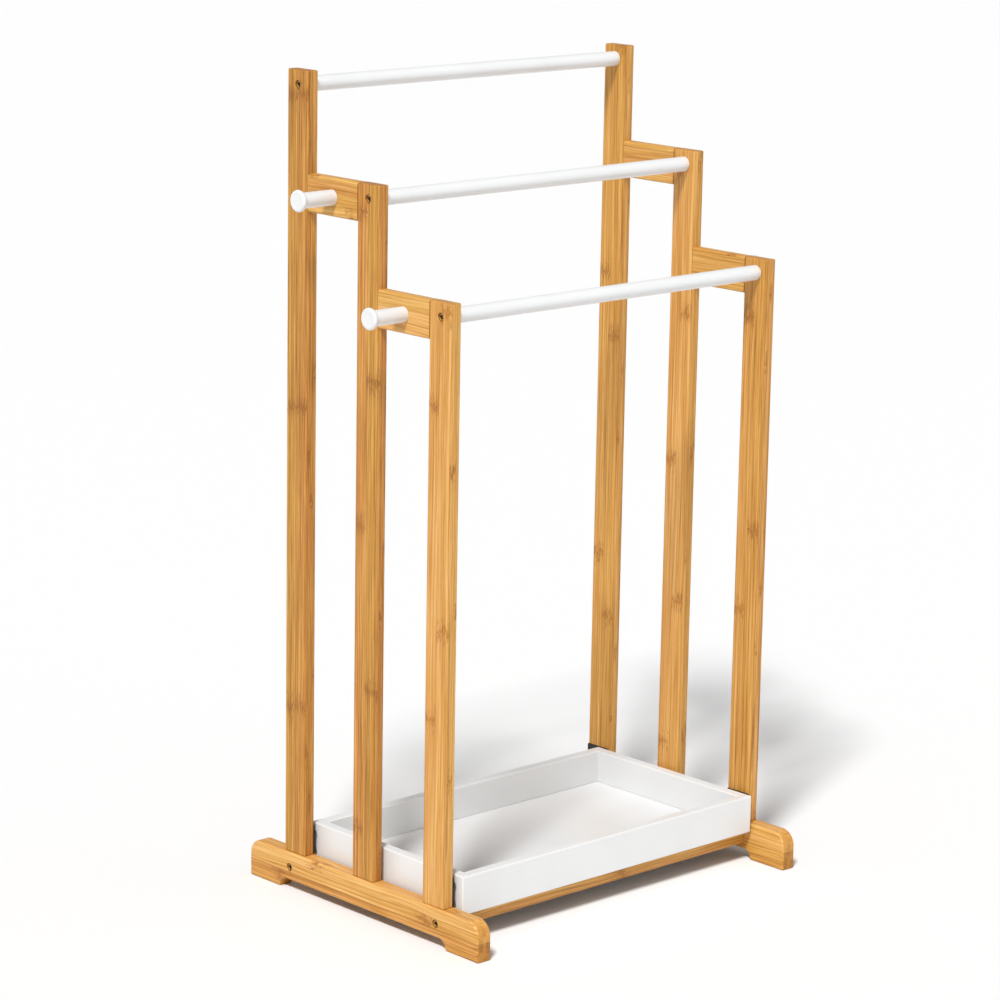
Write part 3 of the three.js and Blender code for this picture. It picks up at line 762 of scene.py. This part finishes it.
def thread(radius, start, end, pitch, depth):
    """Profile points of a thread's crests and roots from start up to end."""
    turns = int((end - start) / pitch)
    points = []
    for turn in range(turns):
        z = start + turn * pitch
        points += [(radius - depth, z), (radius, z + pitch / 2)]
    return points


def build_bolt(node, side, threaded, steel):
    """A socket-head bolt along X: threaded shank, chamfered head and a hexagon socket with a drilled end."""
    low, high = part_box(node)
    out = SIDE_OUT[side]
    length = high.x - low.x
    seat = length - BOLT_HEAD_HEIGHT
    r, head, top, c = BOLT_RADIUS, BOLT_HEAD_RADIUS, length, BOLT_CHAMFER
    floor = top - BOLT_SOCKET_DEPTH
    profile = [(0, 0), (r - c, 0)]
    profile += thread(r, c, min(threaded, seat - 2 * MM), THREAD_PITCH, THREAD_DEPTH)
    profile += [
        (r, min(threaded, seat - 2 * MM) + THREAD_PITCH),
        (r, seat - BOLT_FILLET),
        (r + BOLT_FILLET, seat),
        (head - BOLT_EASE, seat),
        (head, seat + BOLT_EASE),
        (head, top - c),
        (head - 0.15 * MM, top - 0.15 * MM),
        (head - c, top),
        (BOLT_SOCKET * 1.3, top),
        (BOLT_SOCKET * 1.2, top - 0.12 * MM),
        (BOLT_SOCKET, top - 0.45 * MM, HEX_SIDES),
        (BOLT_SOCKET, floor, HEX_SIDES),
        (BOLT_SOCKET * 0.7, floor - 0.2 * MM),
        (0, floor - 0.9 * MM),
    ]
    piece = turned(f"{node}_detail", profile, BOLT_SIDES)
    centre = (low + high) / 2
    lay(piece, (low.x if out > 0 else high.x, centre.y, centre.z), "X" if out > 0 else "-X")
    show(piece, node, steel, crease=28)


def cross_recess(head_x, towards, y, z):
    """Tools for a cross recess that narrows as it goes in. towards is the way the head faces along X."""
    tools = []
    for turn in (0, 1):
        rings = []
        for depth, shrink in ((-CROSS_DEPTH, 0.62), (OVERRUN, 1.3)):
            along, across = CROSS_SPAN / 2 * shrink, CROSS_WIDTH / 2 * (0.75 + 0.25 * shrink)
            if turn:
                along, across = across, along
            rings.append([(along, across, depth), (-along, across, depth), (-along, -across, depth),
                          (along, -across, depth)])
        tools.append(lay(loft("cross", rings), (head_x, y, z), "X" if towards > 0 else "-X"))
    return tools


def build_pan_screw(node, side, steel):
    """A domed screw that goes out into the post, with its head towards the middle of the rack."""
    low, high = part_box(node)
    out = SIDE_OUT[side]
    centre = (low + high) / 2
    length = high.x - low.x
    head = (high.z - low.z) / 2
    seat = length - PAN_HEAD_HEIGHT
    profile = [(0, 0), (0.3 * MM, 0.4 * MM)]
    profile += thread(PAN_SHANK, PAN_POINT, seat - PAN_POINT, PAN_THREAD_PITCH, PAN_THREAD_DEPTH)
    profile += [(PAN_SHANK, seat - 0.4 * MM), (PAN_SHANK, seat)]
    profile += [(head - PAN_EASE, seat), (head, seat + PAN_EASE)]
    steps = PAN_DOME_STEPS
    dome = PAN_HEAD_HEIGHT - PAN_RIM
    for step in range(steps):
        turn = step / steps * math.pi / 2
        profile.append((head * math.cos(turn), seat + PAN_RIM + dome * math.sin(turn)))
    profile.append((0, length))
    piece = turned(f"{node}_detail", profile, BOLT_SIDES)
    tip, top = (high.x, low.x) if out > 0 else (low.x, high.x)
    lay(piece, (tip, centre.y, centre.z), "-X" if out > 0 else "X")
    combine(piece, (), cross_recess(top, -out, centre.y, centre.z))
    show(piece, node, steel)


def build_bracket(side, row, steel):
    """A pressed plate on the post's inner face, with a lip that enters the tray's wall."""
    node = f"{side}_{row}_tray_bracket"
    low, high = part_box(node)
    out = SIDE_OUT[side]
    centre = (low + high) / 2
    size = high - low
    post = outer_face(side, node)
    plate = board(f"{node}_detail", size.y, size.z, BRACKET_THICKNESS, BRACKET_CORNER, BRACKET_EASE)
    lay(plate, (post - out * BRACKET_THICKNESS / 2, centre.y, centre.z), "X")
    lip_low, lip_high = lip_box(side, row)
    lip_size = lip_high - lip_low
    lip = board("lip", lip_size.y, lip_size.z, lip_size.x, LIP_CORNER, LIP_EASE)
    lay(lip, (lip_low + lip_high) / 2, "X")
    holes = []
    for level in ("upper", "lower"):
        screw = middle_of(f"{node}_{level}_screw")
        holes.append(plain_bore(PAN_SHANK + FIT_GAP, post - out * (BRACKET_THICKNESS + OVERRUN),
                                post + out * OVERRUN, screw.y, screw.z, HOLE_SIDES))
    combine(plate, [lip], holes)
    show(plate, node, steel)


def lip_box(side, row):
    """The corners of a bracket's lip, which starts inside the plate and ends in the tray's wall."""
    node = f"{side}_{row}_tray_bracket"
    low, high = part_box(node)
    z = (middle_of(f"{node}_upper_screw").z + middle_of(f"{node}_lower_screw").z) / 2
    inside = BRACKET_THICKNESS / 2
    x0, x1 = (low.x, high.x - inside) if SIDE_OUT[side] > 0 else (low.x + inside, high.x)
    y = low.y + LIP_SETBACK
    return Vector((x0, y, z - LIP_HEIGHT / 2)), Vector((x1, y + LIP_DEPTH, z + LIP_HEIGHT / 2))


def build_tray(lacquer):
    """Two side walls of full depth, front and rear walls between them, and a floor let into grooves."""
    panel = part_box("tray_floor")
    for side in SIDE_OUT:
        node = f"tray_{side}_wall"
        low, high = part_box(node)
        inner = inner_face(side, node)

        def at_joint(middle):
            upright = abs(middle.z - (low.z + high.z) / 2) < OVERRUN
            return upright and abs(middle.x - inner) < OVERRUN

        wall = soft_box(f"{node}_detail", low, high, TRAY_EDGE, at_joint)
        slots = [block(*lip_box(side, row), FIT_GAP) for row in OUTER_ROWS]
        combine(wall, (), [block(*panel, FIT_GAP), *slots])
        show(centred(wall, "Y"), node, lacquer)
    for row in ("front", "rear"):
        node = f"tray_{row}_wall"
        low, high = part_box(node)

        def at_end(middle):
            return abs(abs(middle.x) - high.x) < OVERRUN

        wall = soft_box(f"{node}_detail", low, high, TRAY_EDGE, at_end)
        combine(wall, (), [block(*panel, FIT_GAP)])
        show(centred(wall, "X"), node, lacquer)
    floor = soft_box("tray_floor_detail", *panel, TRAY_FLOOR_EASE)
    show(centred(floor, "X"), "tray_floor", lacquer)


def centred(piece, axis):
    """Moves the piece's origin to its middle and its Z to the axis, and leaves its shape where it is."""
    corners = [Vector(corner) for corner in piece.bound_box]
    turn = Matrix.Translation(sum(corners, Vector()) / 8) @ AXES[axis].to_4x4()
    piece.data.transform(turn.inverted())
    piece.matrix_world = turn
    return piece


# ---------------------------------------------------------------- the rack

post_wood = bamboo("bamboo_posts", strip_width=15.5 * MM, wave=0.0030)
rail_wood = bamboo("bamboo_rails", strip_width=12 * MM, wave=0.0110)
beam_wood = bamboo("bamboo_beams", strip_width=11 * MM, wave=0.0100, lamination=-1 * MM)
lacquer = white_lacquer("white_lacquer")
brassed = metal("brassed_steel", bright=(0.56, 0.34, 0.12), dull=(0.13, 0.07, 0.025),
                metallic=1.0, roughness=0.42)
brass = metal("brass", bright=(0.72, 0.53, 0.22), dull=(0.42, 0.29, 0.11), metallic=1.0, roughness=0.28)
black = metal("black_steel", bright=(0.01, 0.01, 0.01), dull=(0.02, 0.018, 0.016),
              metallic=0.0, roughness=0.42)

for side in SIDE_OUT:
    build_foot_beam(side, beam_wood)
    for row in ROWS:
        build_post(side, row, post_wood)
        build_bolt(f"{side}_{row}_bar_bolt", side, BAR_BOLT_REACH, brassed)
        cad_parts[f"{side}_{row}_bar_insert"].data.materials[0] = brass
    for rail in RAILS:
        build_side_rail(side, rail, rail_wood)
        build_peg(side, rail, lacquer)
    for row in OUTER_ROWS:
        build_bolt(f"{side}_{row}_rail_bolt", side, RAIL_BOLT_REACH, brassed)
        build_bracket(side, row, black)
        for level in ("upper", "lower"):
            build_pan_screw(f"{side}_{row}_tray_bracket_{level}_screw", side, black)
for row in ROWS:
    build_bar(row, lacquer)
for row in OUTER_ROWS:
    build_cross_rail(row, rail_wood)
build_tray(lacquer)

# ---------------------------------------------------------------- floor, light and camera

FLOOR_HALF = 60.0
FLOOR_DROP = 0.1 * MM
HORIZON_LIGHT = 0.92  # the pale wall round the floor
ZENITH_LIGHT = 0.26
SKY_FADE = 0.45  # height, on a ball of radius 1, where the wall's light has faded
CAMERA_PLACE = (-2.46657, -2.59962, 1.22094)
CAMERA_YAW = 42.99  # degrees from +Y towards +X
CAMERA_PITCH = -12.95
CAMERA_ROLL = 1.0
CAMERA_LENS = 129.75
SENSOR_WIDTH = 36
CAMERA_REACH = (0.05, 200)
FLOOR_COLOUR = (0.84, 0.84, 0.84, 1)


def build_floor():
    points = [(x, y, -FLOOR_DROP) for x, y in ((-1, -1), (1, -1), (1, 1), (-1, 1))]
    floor = solid("floor", [(x * FLOOR_HALF, y * FLOOR_HALF, z) for x, y, z in points], [(0, 1, 2, 3)])
    s = Shader("pale_floor")
    s.uniform(Base_Color=FLOOR_COLOUR, Roughness=0.9, Specular_IOR_Level=0.1)
    floor.data.materials.append(s.material)


def sun(name, towards, strength, softness):
    """A lamp far off in the direction towards, as seen from the rack. softness is its width in degrees."""
    lamp = bpy.data.lights.new(name, "SUN")
    lamp.energy = strength
    lamp.angle = math.radians(softness)
    made = bpy.data.objects.new(name, lamp)
    made.rotation_mode = "QUATERNION"
    made.rotation_quaternion = Vector(towards).to_track_quat("Z", "Y")
    bpy.context.scene.collection.objects.link(made)


def build_light():
    world = bpy.data.worlds.new("studio")
    world.use_nodes = True
    tree = world.node_tree
    split = tree.nodes.new("ShaderNodeSeparateXYZ")
    fade = tree.nodes.new("ShaderNodeMapRange")
    tree.links.new(tree.nodes.new("ShaderNodeTexCoord").outputs["Generated"], split.inputs[0])
    tree.links.new(split.outputs["Z"], fade.inputs["Value"])
    for key, value in (("From Max", SKY_FADE), ("To Min", HORIZON_LIGHT), ("To Max", ZENITH_LIGHT)):
        fade.inputs[key].default_value = value
    tree.nodes["Background"].inputs["Color"].default_value = (1, 1, 1, 1)
    tree.links.new(fade.outputs[0], tree.nodes["Background"].inputs["Strength"])
    bpy.context.scene.world = world
    sun("key", towards=(-0.68, -0.42, 1.1), strength=3.3, softness=11)
    sun("fill", towards=(0.5, -0.9, 0.5), strength=0.3, softness=60)
    bpy.context.scene.view_settings.view_transform = "Standard"


def build_camera():
    yaw, pitch, roll = (math.radians(a) for a in (CAMERA_YAW, CAMERA_PITCH, CAMERA_ROLL))
    forward = Vector((math.sin(yaw) * math.cos(pitch), math.cos(yaw) * math.cos(pitch), math.sin(pitch)))
    level = Vector((math.cos(yaw), -math.sin(yaw), 0))
    upright = level.cross(forward)
    right = level * math.cos(roll) + upright * math.sin(roll)
    up = upright * math.cos(roll) - level * math.sin(roll)
    lens = bpy.data.cameras.new("camera")
    lens.lens = CAMERA_LENS
    lens.sensor_width = SENSOR_WIDTH
    lens.clip_start, lens.clip_end = CAMERA_REACH
    camera = bpy.data.objects.new("camera", lens)
    turn = Matrix((right, up, -forward)).transposed()
    camera.matrix_world = Matrix.Translation(CAMERA_PLACE) @ turn.to_4x4()
    bpy.context.scene.collection.objects.link(camera)
    bpy.context.scene.camera = camera


build_floor()
build_light()
build_camera()
